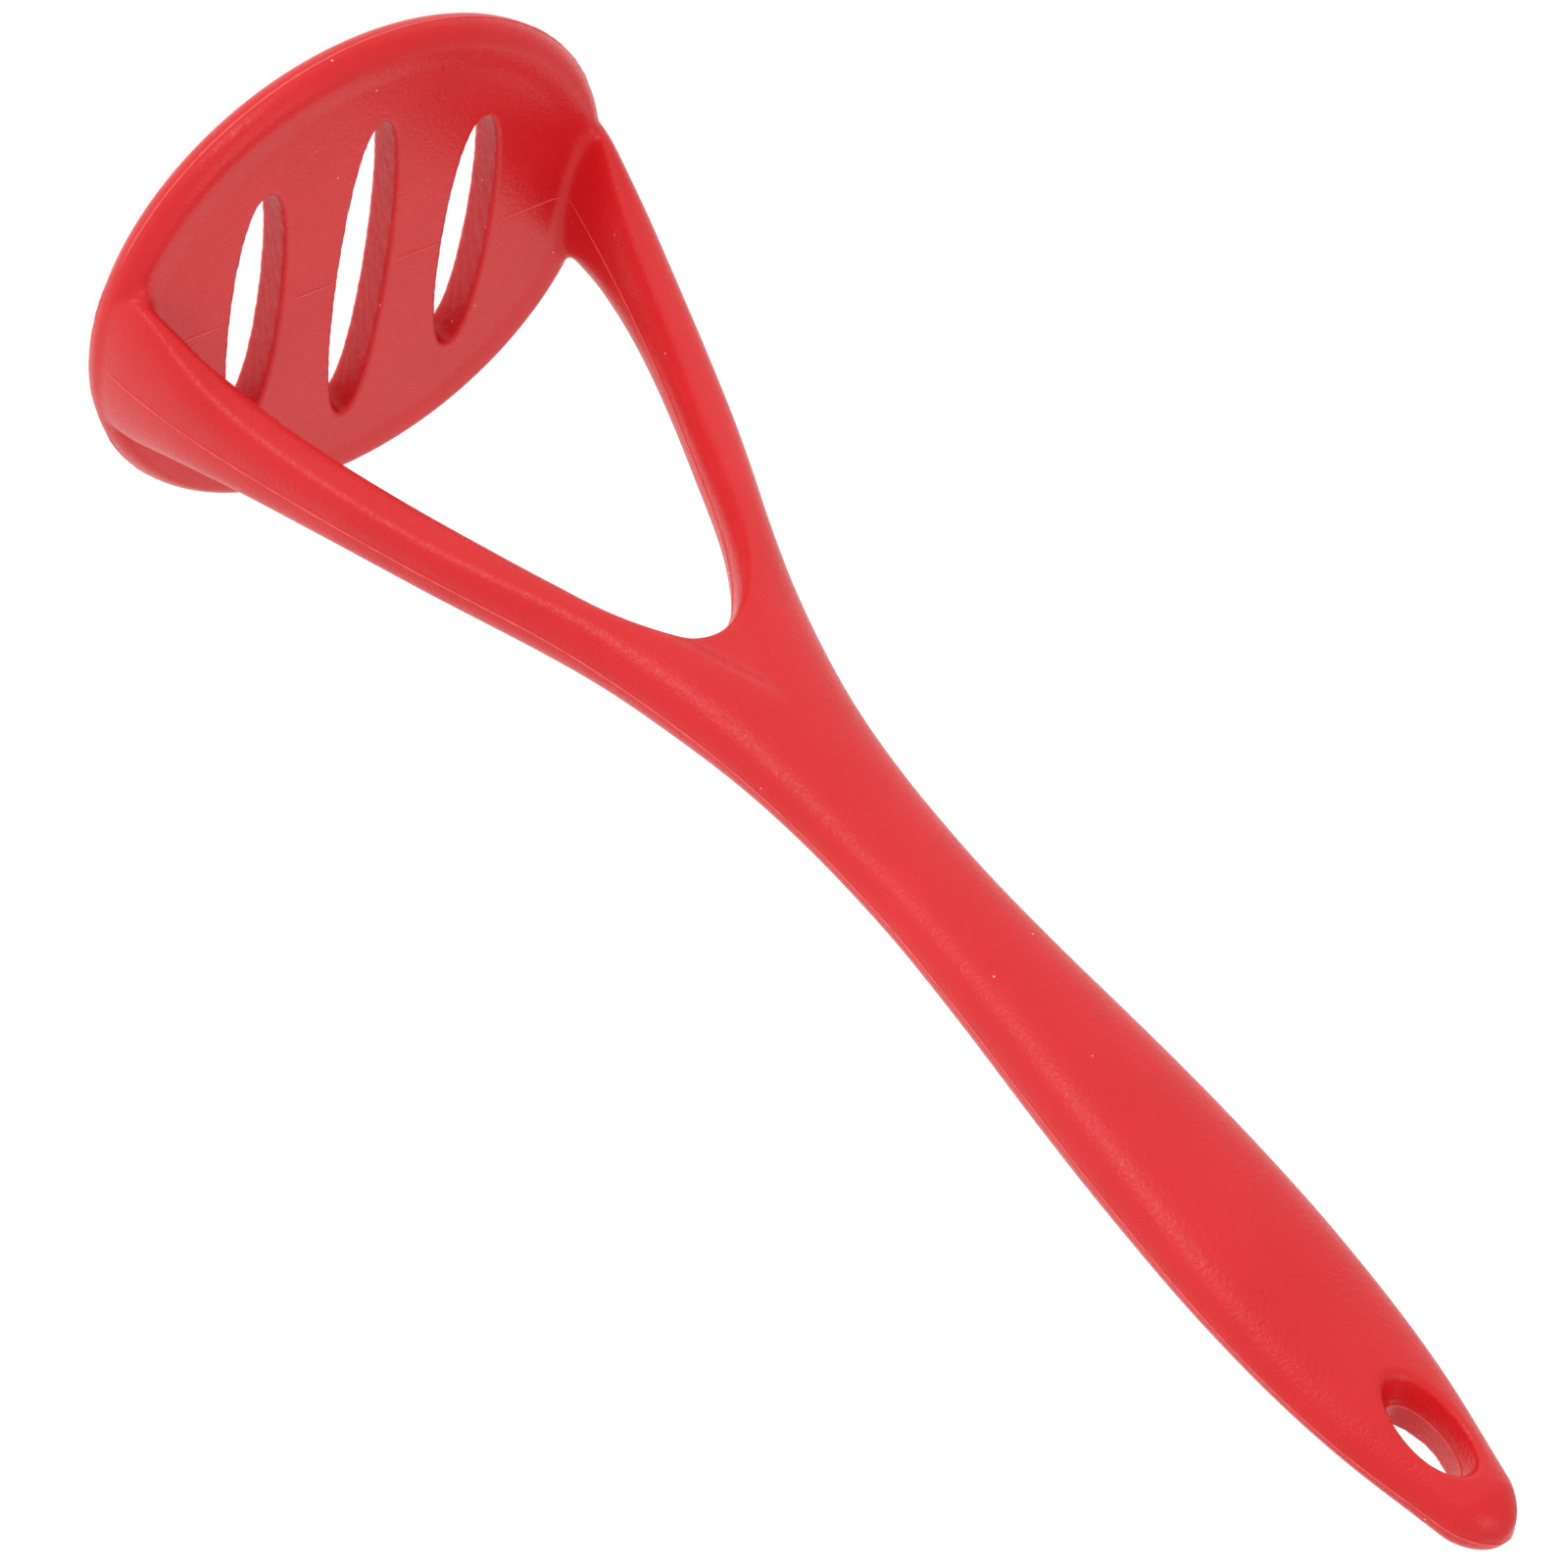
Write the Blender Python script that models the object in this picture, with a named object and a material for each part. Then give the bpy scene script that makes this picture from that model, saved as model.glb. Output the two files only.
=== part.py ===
"""Silicone potato masher: a round slotted head, two arms that join above it, and a grip with a hanging hole.

The tool is an overmoulding of two pieces. A rigid nylon core is wrapped all over by one red silicone skin.
It stands on its sole: origin at the sole's centre, +Z up the grip, the arms spread along X, front at -Y.
All lengths are in metres.
"""
import math

import bmesh
import bpy

# ---- overall sizes -------------------------------------------------------------------------------
TOTAL_LENGTH = 0.2600
HEAD_RADIUS = 0.0460
CROTCH_HEIGHT = 0.0945

# ---- mashing head --------------------------------------------------------------------------------
RIM_HEIGHT = 0.0066
RIM_BAND = 0.0072
RIM_ROUND = 0.0028
SOLE_ROUND = 0.0008
DISH_DEPTH = 0.0007
SLOT_PITCH = 0.0194
SLOT_HALF_WIDTH = 0.0048
MIDDLE_SLOT_HALF_LENGTH = 0.0307
SIDE_SLOT_HALF_LENGTH = 0.0239

# ---- arms ----------------------------------------------------------------------------------------
ARM_FOOT_WIDTH = 0.0064
ARM_FOOT_HALF_DEPTH = 0.0152
ARM_ROOT_HEIGHT = 0.0030
ARM_HALF_DEPTH = 0.0058
SHOULDER_HALF_WIDTH = 0.0152
SHOULDER_HALF_DEPTH = 0.0064

# ---- web between the arms, hollowed in a V in front and behind -------------------------------------
WEB_HALF_DEPTH = 0.0046
WEB_TIP_ABOVE_CROTCH = 0.0175
WEB_SPREAD = 0.46

# ---- grip ----------------------------------------------------------------------------------------
NECK_HALF_WIDTH = 0.0085
NECK_HALF_DEPTH = 0.0056
GRIP_HALF_WIDTH = 0.0120
GRIP_HALF_DEPTH = 0.0066
END_HALF_WIDTH = 0.0064
END_HALF_DEPTH = 0.0047
END_ROUND = 0.0062

# ---- hanging hole: it narrows from both faces to its waist at mid depth ----------------------------
HOLE_BELOW_TOP = 0.0160
HOLE_HALF_WIDTH = 0.0047
HOLE_HALF_LENGTH = 0.0077
HOLE_WAIST = 0.0009

# ---- how the core sits in the skin ----------------------------------------------------------------
SKIN_WALL = 0.0016
FIT_GAP = 0.0003
PIN_HOLE_RADIUS = 0.0012

# ---- mesh fineness -------------------------------------------------------------------------------
HALF_RING = 10
HEAD_SIDES = 56
SLOT_SIDES = 28
HOLE_SIDES = 24
PIN_SIDES = 12
OVERCUT = 0.0040

# Exponents of the rounded cross-sections: 2 is an ellipse, more is squarer.
ARM_SQUARENESS = 2.2
GRIP_SQUARENESS = 2.1
SLOT_LENGTH_POWER = 2.07
SLOT_WIDTH_POWER = 2.3

# Shapes as (share along, share across) pairs; the sizes above stretch them.
WINDOW_SHAPE = ((0.0, 0.0), (0.15, 0.123), (0.39, 0.326), (0.585, 0.509), (0.76, 0.725), (0.875, 0.865), (1.0, 1.0))
ARM_LEAN = ((0.0, 1.0), (0.115, 0.955), (0.235, 0.875), (0.42, 0.69), (0.655, 0.425), (0.89, 0.115), (1.0, 0.0))
ARM_TAPER = ((0.0, 1.0), (0.11, 0.72), (0.235, 0.38), (0.42, 0.12), (0.65, 0.0))
NECK_IN = ((0.0, 1.0), (0.3, 0.43), (0.65, 0.10), (1.0, 0.0))
GRIP_OUT = ((0.0, 0.0), (0.33, 0.31), (0.67, 0.78), (1.0, 1.0))
END_IN = ((0.0, 1.0), (0.45, 0.81), (0.83, 0.32), (1.0, 0.0))

# Heights as shares of the grip, which runs from the crotch to the start of the rounded end.
NECK_AT = 0.32
GRIP_AT = 0.73

SILICONE_RED = (0.72, 0.030, 0.034, 1.0)
NYLON_RED = (0.30, 0.020, 0.022, 1.0)


# ---- curves --------------------------------------------------------------------------------------
def smooth(points, at):
    """Monotone cubic curve through (position, value) points, level beyond both ends."""
    if at <= points[0][0]:
        return points[0][1]
    if at >= points[-1][0]:
        return points[-1][1]
    steps = [b[0] - a[0] for a, b in zip(points, points[1:])]
    slopes = [(b[1] - a[1]) / step for a, b, step in zip(points, points[1:], steps)]
    tangents = [slopes[0]]
    for before, after in zip(slopes, slopes[1:]):
        level = before * after <= 0.0
        tangents.append(0.0 if level else 2.0 * before * after / (before + after))
    tangents.append(slopes[-1])
    i = next(k for k in range(len(steps)) if at <= points[k + 1][0])
    t = (at - points[i][0]) / steps[i]
    rise = t * t * (3.0 - 2.0 * t)
    leave = t * (1.0 - t) ** 2 * steps[i] * tangents[i]
    arrive = -t * t * (1.0 - t) * steps[i] * tangents[i + 1]
    return points[i][1] + (points[i + 1][1] - points[i][1]) * rise + leave + arrive


def mix(low, high, share):
    return low + (high - low) * share


def superellipse(angle, half_a, half_b, squareness):
    """Point at an angle on a rounded section, as (across, deep)."""
    c = math.cos(angle)
    s = math.sin(angle)
    across = half_a * math.copysign(abs(c) ** (2.0 / squareness), c)
    deep = half_b * math.copysign(abs(s) ** (2.0 / squareness), s)
    return across, deep


# ---- outline of the arms and grip, each taken in by an inset ---------------------------------------
def end_start():
    return TOTAL_LENGTH - END_ROUND


def grip_height(share):
    """Height of a share of the way up the grip."""
    return mix(CROTCH_HEIGHT, end_start(), share)


def along(height, low, high):
    return min(max((height - low) / (high - low), 0.0), 1.0)


def profile(height, foot, foot_curve, shoulder, neck, grip, end):
    """Half size of the tool at a height, from foot to grip end."""
    if height < CROTCH_HEIGHT:
        return mix(shoulder, foot, smooth(foot_curve, height / CROTCH_HEIGHT))
    neck_height = grip_height(NECK_AT)
    widest_height = grip_height(GRIP_AT)
    if height < neck_height:
        return mix(neck, shoulder, smooth(NECK_IN, along(height, CROTCH_HEIGHT, neck_height)))
    if height < widest_height:
        return mix(neck, grip, smooth(GRIP_OUT, along(height, neck_height, widest_height)))
    return mix(end, grip, smooth(END_IN, along(height, widest_height, end_start())))


def end_closing(height, inset):
    """Share of the section left at a height in the rounded grip end."""
    reach = along(height, end_start(), TOTAL_LENGTH - inset)
    return math.sqrt(max(1.0 - reach * reach, 0.0))


def half_width(height, inset):
    widths = (HEAD_RADIUS, ARM_LEAN, SHOULDER_HALF_WIDTH, NECK_HALF_WIDTH, GRIP_HALF_WIDTH, END_HALF_WIDTH)
    return (profile(height, *widths) - inset) * end_closing(height, inset)


def half_depth(height, inset):
    shoulder = SHOULDER_HALF_DEPTH
    if height < CROTCH_HEIGHT:
        bulge = along(height, 0.75 * CROTCH_HEIGHT, CROTCH_HEIGHT)
        slim = mix(ARM_HALF_DEPTH, shoulder, bulge)
        depth = mix(slim, ARM_FOOT_HALF_DEPTH, smooth(ARM_TAPER, height / CROTCH_HEIGHT))
    else:
        depths = (0.0, ARM_TAPER, shoulder, NECK_HALF_DEPTH, GRIP_HALF_DEPTH, END_HALF_DEPTH)
        depth = profile(height, *depths)
    return (depth - inset) * end_closing(height, inset)


def window_half_width(height, inset):
    """Half width of the window between the arms; an inset makes it larger."""
    crotch = CROTCH_HEIGHT + inset
    reach = math.sqrt(max(crotch - height, 0.0) / crotch)
    foot = HEAD_RADIUS - ARM_FOOT_WIDTH + inset
    return foot * smooth(WINDOW_SHAPE, reach)


def web_depth(across, height, depth, inset):
    """Half depth where the V-shaped hollow between the arms takes it in."""
    tip = CROTCH_HEIGHT + WEB_TIP_ABOVE_CROTCH
    spread = WEB_SPREAD * (tip - height)
    if spread <= 0.0 or abs(across) >= spread:
        return depth
    hollow = mix(WEB_HALF_DEPTH - inset, depth, along(height, CROTCH_HEIGHT, tip))
    return min(depth, mix(hollow, depth, (abs(across) / spread) ** 1.5))


# ---- rings of points -----------------------------------------------------------------------------
def arm_ring(height, inset):
    """Ring of the +X arm: front, outer side, back, window side."""
    outer = half_width(height, inset)
    inner = window_half_width(height, inset)
    depth = half_depth(height, inset)
    ring = []
    for k in range(2 * HALF_RING):
        angle = math.pi * (k / HALF_RING - 0.5)
        across, deep = superellipse(angle, (outer - inner) / 2.0, depth, ARM_SQUARENESS)
        ring.append(((outer + inner) / 2.0 + across, deep, height))
    return ring


def grip_ring(height, inset):
    """Ring of the grip: front, +X side, back, -X side."""
    width = half_width(height, inset)
    depth = half_depth(height, inset)
    ring = []
    for k in range(2 * HALF_RING):
        angle = math.pi * (k / HALF_RING - 0.5)
        across, deep = superellipse(angle, width, depth, GRIP_SQUARENESS)
        limit = web_depth(across, height, depth, inset)
        deep = math.copysign(min(abs(deep), limit), deep)
        ring.append((across, deep, height))
    return ring


def mirrored(ring):
    return [(-x, y, z) for x, y, z in ring]


# ---- mesh building -------------------------------------------------------------------------------
def bridge(mesh, low, high):
    """Quads between two closed rings of the same length."""
    count = len(low)
    for k in range(count):
        mesh.faces.new((low[k], low[(k + 1) % count], high[(k + 1) % count], high[k]))


def add_ring(mesh, points):
    return [mesh.verts.new(point) for point in points]


def join_arms(mesh, right, left, grip, inset):
    """Join the last rings of both arms to the first ring of the grip, with the crotch between them."""
    half = HALF_RING
    for k in range(half):
        mesh.faces.new((right[k], right[k + 1], grip[k + 1], grip[k]))
        mesh.faces.new((left[k + 1], left[k], grip[-k], grip[-k - 1]))
    for k in range(half + 1, 2 * half - 1):
        mesh.faces.new((right[k], right[k + 1], left[k + 1], left[k]))
    crotch = right[0].co.z
    lip = WEB_HALF_DEPTH - inset
    front = mesh.verts.new((0.0, -lip, crotch))
    back = mesh.verts.new((0.0, lip, crotch))
    mesh.faces.new((right[-1], right[0], front, left[0], left[-1]))
    mesh.faces.new((right[half], right[half + 1], left[half + 1], left[half], back))
    mesh.faces.new((right[0], grip[0], front))
    mesh.faces.new((front, grip[0], left[0]))
    mesh.faces.new((right[half], back, grip[half]))
    mesh.faces.new((back, left[half], grip[half]))


def finish_mesh(mesh, name):
    """Turn a bmesh into an object with its faces pointing out.

    Every quad is split along the same diagonal, so that bodies of different insets stay nested.
    """
    quads = [face for face in mesh.faces if len(face.verts) == 4]
    bmesh.ops.triangulate(mesh, faces=quads, quad_method="FIXED")
    bmesh.ops.recalc_face_normals(mesh, faces=mesh.faces)
    data = bpy.data.meshes.new(name)
    mesh.to_mesh(data)
    mesh.free()
    data.shade_smooth()
    data.set_sharp_from_angle(angle=math.radians(40.0))
    thing = bpy.data.objects.new(name, data)
    bpy.context.scene.collection.objects.link(thing)
    return thing


def as_cutter(thing):
    thing.hide_render = True
    thing.display_type = "WIRE"
    return thing


def arms_and_grip(name, inset):
    """One closed Y-shaped body: two arms, the crotch, and the grip up to its rounded end."""
    mesh = bmesh.new()
    root = ARM_ROOT_HEIGHT
    top = CROTCH_HEIGHT + inset
    arm_shares = (0.0, 0.05, 0.11, 0.19, 0.30, 0.44, 0.59, 0.72, 0.82, 0.90, 0.955, 0.99)
    arm_heights = [mix(root, top, share) for share in arm_shares]
    right = [add_ring(mesh, arm_ring(height, inset)) for height in arm_heights]
    left = [add_ring(mesh, mirrored(arm_ring(height, inset))) for height in arm_heights]
    for rings in (right, left):
        mesh.faces.new(rings[0])
        for low, high in zip(rings, rings[1:]):
            bridge(mesh, low, high)
    grip_shares = (0.02, 0.06, 0.11, 0.18, 0.26, 0.35, 0.46, 0.58, 0.69, 0.79, 0.88, 0.95, 1.0)
    grip_heights = [mix(top, end_start(), share) for share in grip_shares]
    end_reach = TOTAL_LENGTH - inset - end_start()
    grip_heights += [end_start() + end_reach * math.sin(math.radians(angle)) for angle in (28, 52, 72)]
    grip = [add_ring(mesh, grip_ring(height, inset)) for height in grip_heights]
    for low, high in zip(grip, grip[1:]):
        bridge(mesh, low, high)
    tip = mesh.verts.new((0.0, 0.0, TOTAL_LENGTH - inset))
    for k in range(2 * HALF_RING):
        mesh.faces.new((grip[-1][k - 1], grip[-1][k], tip))
    join_arms(mesh, right[-1], left[-1], grip[0], inset)
    return finish_mesh(mesh, name)


def turned(name, outline, sides):
    """Closed body turned about Z from (radius, height) points; both ends lie on the axis."""
    mesh = bmesh.new()
    rings = []
    for radius, height in outline[1:-1]:
        turns = [2.0 * math.pi * k / sides for k in range(sides)]
        rings.append(add_ring(mesh, [(radius * math.cos(a), radius * math.sin(a), height) for a in turns]))
    for low, high in zip(rings, rings[1:]):
        bridge(mesh, low, high)
    mesh.faces.new(rings[0])
    mesh.faces.new(rings[-1])
    return finish_mesh(mesh, name)


def head_plate(name, inset):
    """Round plate with a raised rim, a softened edge and a shallow dish inside."""
    radius = HEAD_RADIUS - inset
    rim_top = RIM_HEIGHT - inset
    floor_top = RIM_HEIGHT - DISH_DEPTH - inset
    soft = min(RIM_ROUND, 0.6 * (rim_top - inset))
    sole_soft = min(SOLE_ROUND, 0.2 * (rim_top - inset))
    outline = [(0.0, inset), (radius - sole_soft, inset), (radius, inset + sole_soft)]
    for angle in (0, 35, 65, 90):
        turn = math.radians(angle)
        outline.append((radius - soft * (1.0 - math.cos(turn)), rim_top - soft * (1.0 - math.sin(turn))))
    outline += [(HEAD_RADIUS - RIM_BAND - inset, floor_top), (0.0, floor_top)]
    return turned(name, outline, HEAD_SIDES)


def prism(name, outline_low, outline_high):
    """Closed body between two matching rings of points."""
    mesh = bmesh.new()
    low = add_ring(mesh, outline_low)
    high = add_ring(mesh, outline_high)
    bridge(mesh, low, high)
    mesh.faces.new(low)
    mesh.faces.new(high)
    return finish_mesh(mesh, name)


def slot_outline(centre, half_length, grow, height):
    """Leaf-shaped slot, running front to back."""
    ring = []
    for k in range(SLOT_SIDES):
        angle = 2.0 * math.pi * k / SLOT_SIDES
        along_share = math.sin(angle)
        across_share = max(1.0 - abs(along_share) ** SLOT_LENGTH_POWER, 0.0) ** (1.0 / SLOT_WIDTH_POWER)
        across = math.copysign((SLOT_HALF_WIDTH + grow) * across_share, math.cos(angle))
        ring.append((centre + across, (half_length + grow) * along_share, height))
    return ring


def slot_cutter(name, centre, half_length, grow):
    low = slot_outline(centre, half_length, grow, -OVERCUT)
    high = slot_outline(centre, half_length, grow, RIM_HEIGHT + OVERCUT)
    return as_cutter(prism(name, low, high))


def hole_outline(grow, depth):
    ring = []
    for k in range(HOLE_SIDES):
        across, up = superellipse(2.0 * math.pi * k / HOLE_SIDES, HOLE_HALF_WIDTH + grow, HOLE_HALF_LENGTH + grow, 2.0)
        ring.append((across, depth, TOTAL_LENGTH - HOLE_BELOW_TOP + up))
    return ring


def hole_cutter(name, grow):
    """Hanging hole, narrowest at its waist in the tool's middle plane."""
    mesh = bmesh.new()
    reach = END_HALF_DEPTH + OVERCUT
    flare = HOLE_WAIST * OVERCUT / END_HALF_DEPTH
    front = add_ring(mesh, hole_outline(grow + flare, -reach))
    waist = add_ring(mesh, hole_outline(grow - HOLE_WAIST, 0.0))
    back = add_ring(mesh, hole_outline(grow + flare, reach))
    bridge(mesh, front, waist)
    bridge(mesh, waist, back)
    mesh.faces.new(front)
    mesh.faces.new(back)
    return as_cutter(finish_mesh(mesh, name))


def pin_cutter(name, start, end):
    """Round hole that a locating pin of the mould leaves in the skin, along Y or Z."""
    ring = []
    upright = abs(end[2] - start[2]) > abs(end[1] - start[1])
    for k in range(PIN_SIDES):
        angle = 2.0 * math.pi * (k + 0.37) / PIN_SIDES
        a = PIN_HOLE_RADIUS * math.cos(angle)
        b = PIN_HOLE_RADIUS * math.sin(angle)
        ring.append((a, b, 0.0) if upright else (a, 0.0, b))
    low = [(start[0] + x, start[1] + y, start[2] + z) for x, y, z in ring]
    high = [(end[0] + x, end[1] + y, end[2] + z) for x, y, z in ring]
    return as_cutter(prism(name, low, high))


# ---- assembly ------------------------------------------------------------------------------------
def combine(thing, operation, other):
    step = thing.modifiers.new(other.name, "BOOLEAN")
    step.operation = operation
    step.solver = "EXACT"
    step.object = other


def tool_body(name, inset, slot_grow):
    """The whole tool's solid taken in by an inset, with its slots and its hanging hole."""
    body = arms_and_grip(name, inset)
    combine(body, "UNION", as_cutter(head_plate(name + "_head", inset)))
    slots = (
        ("left_slot", -SLOT_PITCH, SIDE_SLOT_HALF_LENGTH),
        ("middle_slot", 0.0, MIDDLE_SLOT_HALF_LENGTH),
        ("right_slot", SLOT_PITCH, SIDE_SLOT_HALF_LENGTH),
    )
    for slot, centre, half_length in slots:
        combine(body, "DIFFERENCE", slot_cutter(name + "_" + slot, centre, half_length, slot_grow))
    combine(body, "DIFFERENCE", hole_cutter(name + "_hanging_hole", slot_grow))
    return body


def open_pin_holes(skin):
    """Pin marks: two under the head, one behind each arm and two behind the grip."""
    inside = SKIN_WALL + 0.5 * FIT_GAP
    under = SLOT_PITCH / 2.0
    for side, name in ((-1.0, "left"), (1.0, "right")):
        start = (side * under, 0.0, -OVERCUT)
        end = (side * under, 0.0, inside)
        combine(skin, "DIFFERENCE", pin_cutter("sole_pin_" + name, start, end))
        height = 0.5 * CROTCH_HEIGHT
        across = side * (half_width(height, 0.0) + window_half_width(height, 0.0)) / 2.0
        core_back = half_depth(height, inside)
        start = (across, core_back, height)
        end = (across, core_back + SKIN_WALL + OVERCUT, height)
        combine(skin, "DIFFERENCE", pin_cutter("arm_pin_" + name, start, end))
    for share, name in ((0.22, "low"), (0.66, "high")):
        height = grip_height(share)
        core_back = half_depth(height, inside)
        start = (0.0, core_back, height)
        end = (0.0, core_back + SKIN_WALL + OVERCUT, height)
        combine(skin, "DIFFERENCE", pin_cutter("grip_pin_" + name, start, end))


def principled(name, color, roughness):
    material = bpy.data.materials.new(name)
    material.use_nodes = True
    shader = material.node_tree.nodes["Principled BSDF"]
    shader.inputs["Base Color"].default_value = color
    shader.inputs["Roughness"].default_value = roughness
    shader.inputs["Metallic"].default_value = 0.0
    return material


def make_skin():
    """Silicone skin: the tool's outside, hollowed for the core."""
    skin = tool_body("silicone_skin", 0.0, 0.0)
    hollow = as_cutter(tool_body("skin_hollow", SKIN_WALL, SKIN_WALL))
    combine(skin, "DIFFERENCE", hollow)
    open_pin_holes(skin)
    skin.data.materials.append(principled("silicone_skin", SILICONE_RED, 0.45))
    return skin


def make_core():
    """Nylon core: the same shape, one skin wall and one gap smaller all over."""
    taken_in = SKIN_WALL + FIT_GAP
    core = tool_body("nylon_core", taken_in, taken_in)
    core.data.materials.append(principled("nylon_core", NYLON_RED, 0.6))
    return core


def main():
    for thing in list(bpy.data.objects):
        bpy.data.objects.remove(thing, do_unlink=True)
    make_skin()
    make_core()


main()
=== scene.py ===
"""Looks of the silicone potato masher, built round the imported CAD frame.

The skin is one continuous moulding, so it is described here as one smooth solid: a function of position
that is negative inside the silicone. A fine quad mesh is laid on its surface, and the mould's parting lines
ride on it as raised beads. Lengths inside the shape functions are millimetres, in the CAD's own frame.
"""

import math

import bpy
import numpy as np
from mathutils import Matrix, Vector


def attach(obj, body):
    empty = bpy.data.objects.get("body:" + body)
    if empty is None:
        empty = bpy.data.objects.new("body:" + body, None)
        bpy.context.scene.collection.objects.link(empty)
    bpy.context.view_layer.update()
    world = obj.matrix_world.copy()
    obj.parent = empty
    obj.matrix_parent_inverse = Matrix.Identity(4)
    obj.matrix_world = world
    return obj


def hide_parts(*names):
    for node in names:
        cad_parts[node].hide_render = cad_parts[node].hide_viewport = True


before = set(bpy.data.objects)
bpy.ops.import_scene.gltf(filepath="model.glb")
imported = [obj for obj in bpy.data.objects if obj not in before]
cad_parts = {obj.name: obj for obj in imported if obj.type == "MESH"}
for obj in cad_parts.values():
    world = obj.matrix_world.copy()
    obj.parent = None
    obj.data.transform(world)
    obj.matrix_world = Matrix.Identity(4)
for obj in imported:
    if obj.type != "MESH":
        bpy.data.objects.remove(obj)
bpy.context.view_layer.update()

MM = 0.001
# Side of a mesh cell.
CELL = 0.46
# Box that is searched for the surface. Above SEARCH_HEAD it closes in on the arms and the grip.
SEARCH_HALF = 47.2
SEARCH_BOTTOM = -1.3
SEARCH_TOP = 261.3
SEARCH_HEAD = 9.0
SEARCH_SPARE = 1.5
SEARCH_LAYERS = 8

# ---- head ----------------------------------------------------------------------------------------
HEAD_RADIUS = 45.86
HEAD_DEEP = 44.95
HEAD_HEIGHT = 6.65
RIM_ROUND = 3.2
RIM_POWER = 1.72
DISH = 0.6
DISH_FROM = 42.8
DISH_TO = 38.4
DISH_EDGE = 0.7
SLOT_PITCH = 19.35
# (middle, half width, half length); the outer slot is repeated on the other side.
SLOTS = ((0.0, 4.58, 30.2), (SLOT_PITCH, 4.48, 23.7))
SLOT_BACK = 0.33
SLOT_WIDTH_POWER = 2.32
SLOT_LENGTH_POWER = 2.07
SLOT_POWER = 2.2
SLOT_TOP = 12.0
SLOT_EDGE = 0.6
SLOT_RAGGED = 0.05
# The trimmed faces, which get the rougher finish and a darker red that is painted shade: between these
# heights, and no further out than this.
CUT_HEIGHTS = (0.7, 5.6)
CUT_RADIUS = 36.0

# ---- arms and grip: (height, half size) stations ---------------------------------------------------
OUTER = (
    (0, 46.1), (5, 45.85), (10, 45.1), (20, 43.1), (30, 40.2), (40, 36.8), (50, 33.15), (60, 29.25),
    (70, 25.0), (80, 20.6), (90, 16.9), (100, 13.85), (110, 11.45), (120, 9.9), (130, 9.0), (145, 8.5),
    (160, 9.1), (180, 10.6), (195, 11.5), (210, 11.9), (220, 11.65), (230, 10.9), (240, 9.35), (250, 6.8),
    (254, 5.75), (260, 4.15),
)
DEPTH = (
    (0, 15.9), (5, 14.5), (10, 13.0), (15, 11.1), (20, 9.2), (30, 7.0), (40, 5.9), (50, 5.3), (60, 5.05),
    (75, 5.4), (90, 5.85), (100, 6.25), (108, 6.3), (120, 5.8), (132, 5.4), (145, 5.6), (160, 6.05),
    (175, 6.55), (187, 6.7), (200, 6.45), (212, 6.05), (225, 5.35), (235, 5.0), (250, 4.9), (260, 4.85),
)
# Line along which an arm, and above the crotch the edge of the web, is thickest.
RIDGE = (
    (0, 43.0), (5, 42.3), (10, 41.35), (20, 39.0), (30, 36.0), (40, 32.7), (50, 29.0), (60, 25.1),
    (70, 20.9), (80, 16.3), (86, 12.6), (92, 9.0), (98, 6.2), (104, 3.8), (110, 1.4), (115, 0.0),
    (260, 0.0),
)
# Rounding of an arm's window side, measured square to it.
INNER_ROUND = (
    (0, 3.35), (10, 3.65), (20, 3.95), (40, 3.9), (60, 3.85), (75, 3.4), (84, 2.3), (91, 1.5), (260, 1.5),
)
# Upper edge of the window between the arms: (distance from the middle, height).
WINDOW = (
    (0, 92.7), (2, 92.4), (4, 91.5), (6, 90.0), (8, 87.8), (10, 84.9), (12, 81.2), (15, 74.6), (20, 62.2),
    (25, 49.45), (30, 35.6), (35, 19.5), (38, 8.2), (41, -4.0),
)
# The window's middle is off the arms' middle, by this at the bottom and at the top.
WINDOW_SHIFT = (-0.15, 0.5)
WINDOW_SHIFT_OVER = (74.0, 92.0)
# Sunk web in the crotch: half its depth, the distances from the ridge over which it sinks, and its heights.
WEB_DEPTH = 4.7
WEB_FROM = 0.2
WEB_TO = 4.6
WEB_BEGINS_OVER = (74.0, 86.0)
WEB_ENDS_OVER = (96.0, 116.0)
# Power of the section: 2 is an ellipse, more is squarer.
SECTION_POWER = 2.0
ARM_POWER_MORE = 0.7
ARM_POWER_OVER = (8.0, 26.0)
GRIP_POWER_LESS = 0.5
GRIP_POWER_OVER = (58.0, 80.0)
END_FROM = 254.0
END_ROUND = 5.9
ARM_FOOT = 1.5
# Fillet between the arms and the head, which fades out towards the rim.
FILLET_AT_RIM = 0.35
FILLET_MORE = 2.6
FILLET_OVER = (42.0, 45.2)

# ---- hanging hole ----------------------------------------------------------------------------------
HOLE_HEIGHT = 244.0
HOLE_WAIST = (3.3, 6.6)
HOLE_SHIFT = -0.2
HOLE_FLARE = 1.1
HOLE_BACK_FLARE = 0.1
HOLE_FLARE_DOWN = 1.9
HOLE_FLARE_POWER = 1.4
HOLE_HALF_DEPTH = 4.9
HOLE_EDGE = 0.4
HOLE_FRONT_EDGE_MORE = 0.5

# ---- pin marks of the mould: (x, z) on the back, and x under the head --------------------------------
PIN_RADIUS = 1.2
PIN_DEPTH = 2.2
PIN_EDGE = 0.3
BACK_PINS = ((0.0, 129.5), (0.0, 199.6), (30.1, 47.3), (-30.1, 47.3))
SOLE_PINS = (SLOT_PITCH / 2.0, -SLOT_PITCH / 2.0)

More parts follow.
